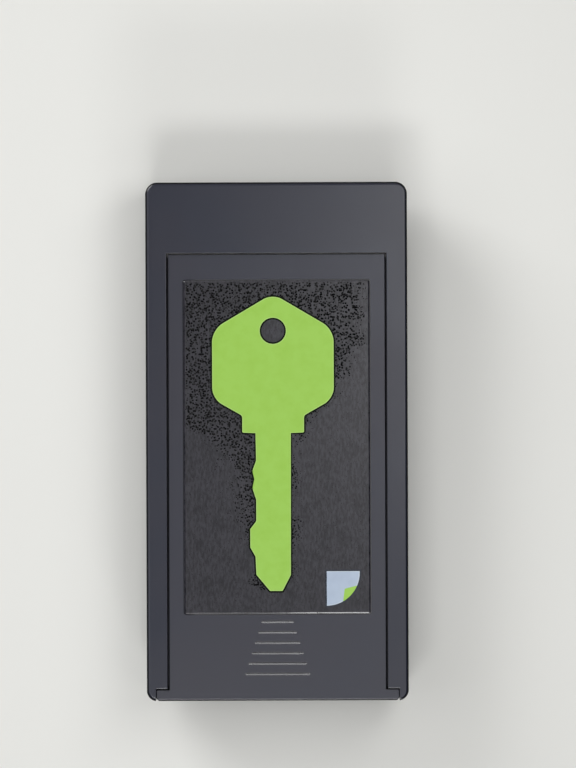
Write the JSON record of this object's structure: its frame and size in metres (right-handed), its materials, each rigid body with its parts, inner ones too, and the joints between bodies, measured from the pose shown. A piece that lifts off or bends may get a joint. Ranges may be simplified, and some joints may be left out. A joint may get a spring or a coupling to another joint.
{
  "type": "magnetic key case",
  "caption": "Flat moulded key case whose lid slides out between two rails, with a ferrite magnet stack on its back",
  "frame": {"origin": "under the middle of the case, on the plane where the two pole plates touch steel", "axes": "+X across the case's width, +Y along its length towards the closed end, +Z out of its front; the box lies on its magnets"},
  "size_m": [0.053, 0.105, 0.02],
  "materials": {
    "case_plastic": "satin black injection-moulded plastic with a very fine grain",
    "label_film": "matt black printed film with a fine pebble",
    "ferrite": "dark grey sintered and ground ferrite",
    "plated_steel": "zinc-plated mild steel strip, sheared edges",
    "glue": "cured amber-tinted epoxy"
  },
  "bodies": {
    "case": {"case_body": "case_plastic", "ferrite_block_upper": "ferrite", "ferrite_block_lower": "ferrite", "pole_plate_left": "plated_steel", "pole_plate_right": "plated_steel", "magnet_glue_bed": "glue"},
    "lid": {"slide_lid": "case_plastic", "label_sheet": "label_film"}
  },
  "joints": [
    {"name": "lid_slide", "type": "slide", "parent": "case", "child": "lid", "axis": [0, -1, 0], "range_m": [0, 0.099]}
  ]
}
